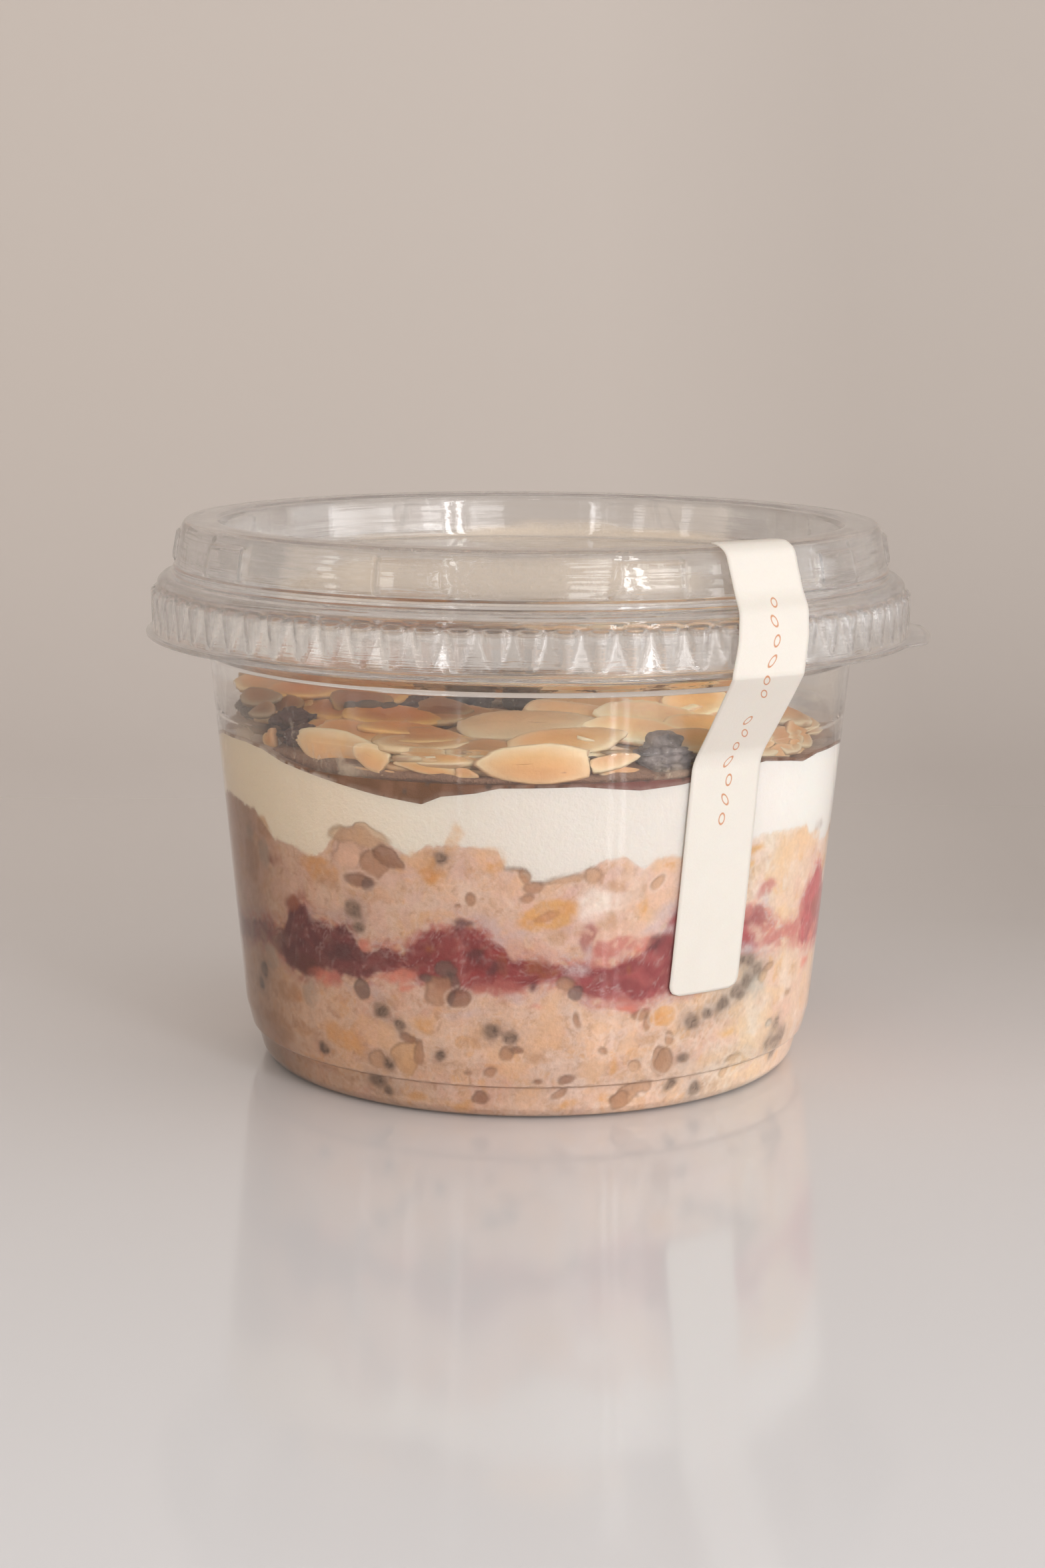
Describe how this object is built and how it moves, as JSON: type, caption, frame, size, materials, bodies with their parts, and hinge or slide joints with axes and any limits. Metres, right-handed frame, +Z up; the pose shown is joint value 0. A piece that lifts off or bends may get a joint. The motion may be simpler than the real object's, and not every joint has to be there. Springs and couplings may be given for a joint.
{
  "type": "strawberry overnight oats cup",
  "caption": "Strawberry overnight oats layered with jam, yoghurt, flaked almonds and dried berries in a clear tapering cup, closed by a ribbed press-on lid and a paper seal strip.",
  "frame": {"origin": "centre of the flat base, on the surface the cup stands on", "axes": "+Z up along the cup's axis, -Y towards the side seen from the front, +X to the right with the lid's lifting tab"},
  "size_m": [0.1037, 0.102, 0.0729],
  "materials": {
    "clear_cup": "clear PET, smooth",
    "clear_lid": "clear PET, smooth, ribbed skirt",
    "strip_paper": "matt cream paper",
    "oats": "moist oat and chia pudding, peach beige with amber flakes",
    "strawberry_jam": "moist strawberry jam, muted purple red",
    "yoghurt": "smooth cream white yoghurt",
    "fruit_film": "brown fruit syrup with dark specks",
    "almonds": "flaked almonds, cream rim and amber middle",
    "blueberry": "dried wrinkled berry, dark blue grey",
    "raisin": "dried wrinkled fruit, dark brown"
  },
  "bodies": {
    "root": {"cup": "clear_cup", "lid": "clear_lid", "seal_strip": "strip_paper", "oats_lower": "oats", "strawberry_layer": "strawberry_jam", "oats_upper": "oats", "yoghurt": "yoghurt", "fruit_film": "fruit_film", "almond_heap": "almonds", "blueberry_front": "blueberry", "blueberry_left": "blueberry", "blueberry_middle_left": "blueberry", "blueberry_middle_right": "blueberry", "raisin_left_front": "raisin", "raisin_left": "raisin", "raisin_middle": "raisin", "raisin_middle_front": "raisin", "raisin_right": "raisin"}
  },
  "joints": []
}
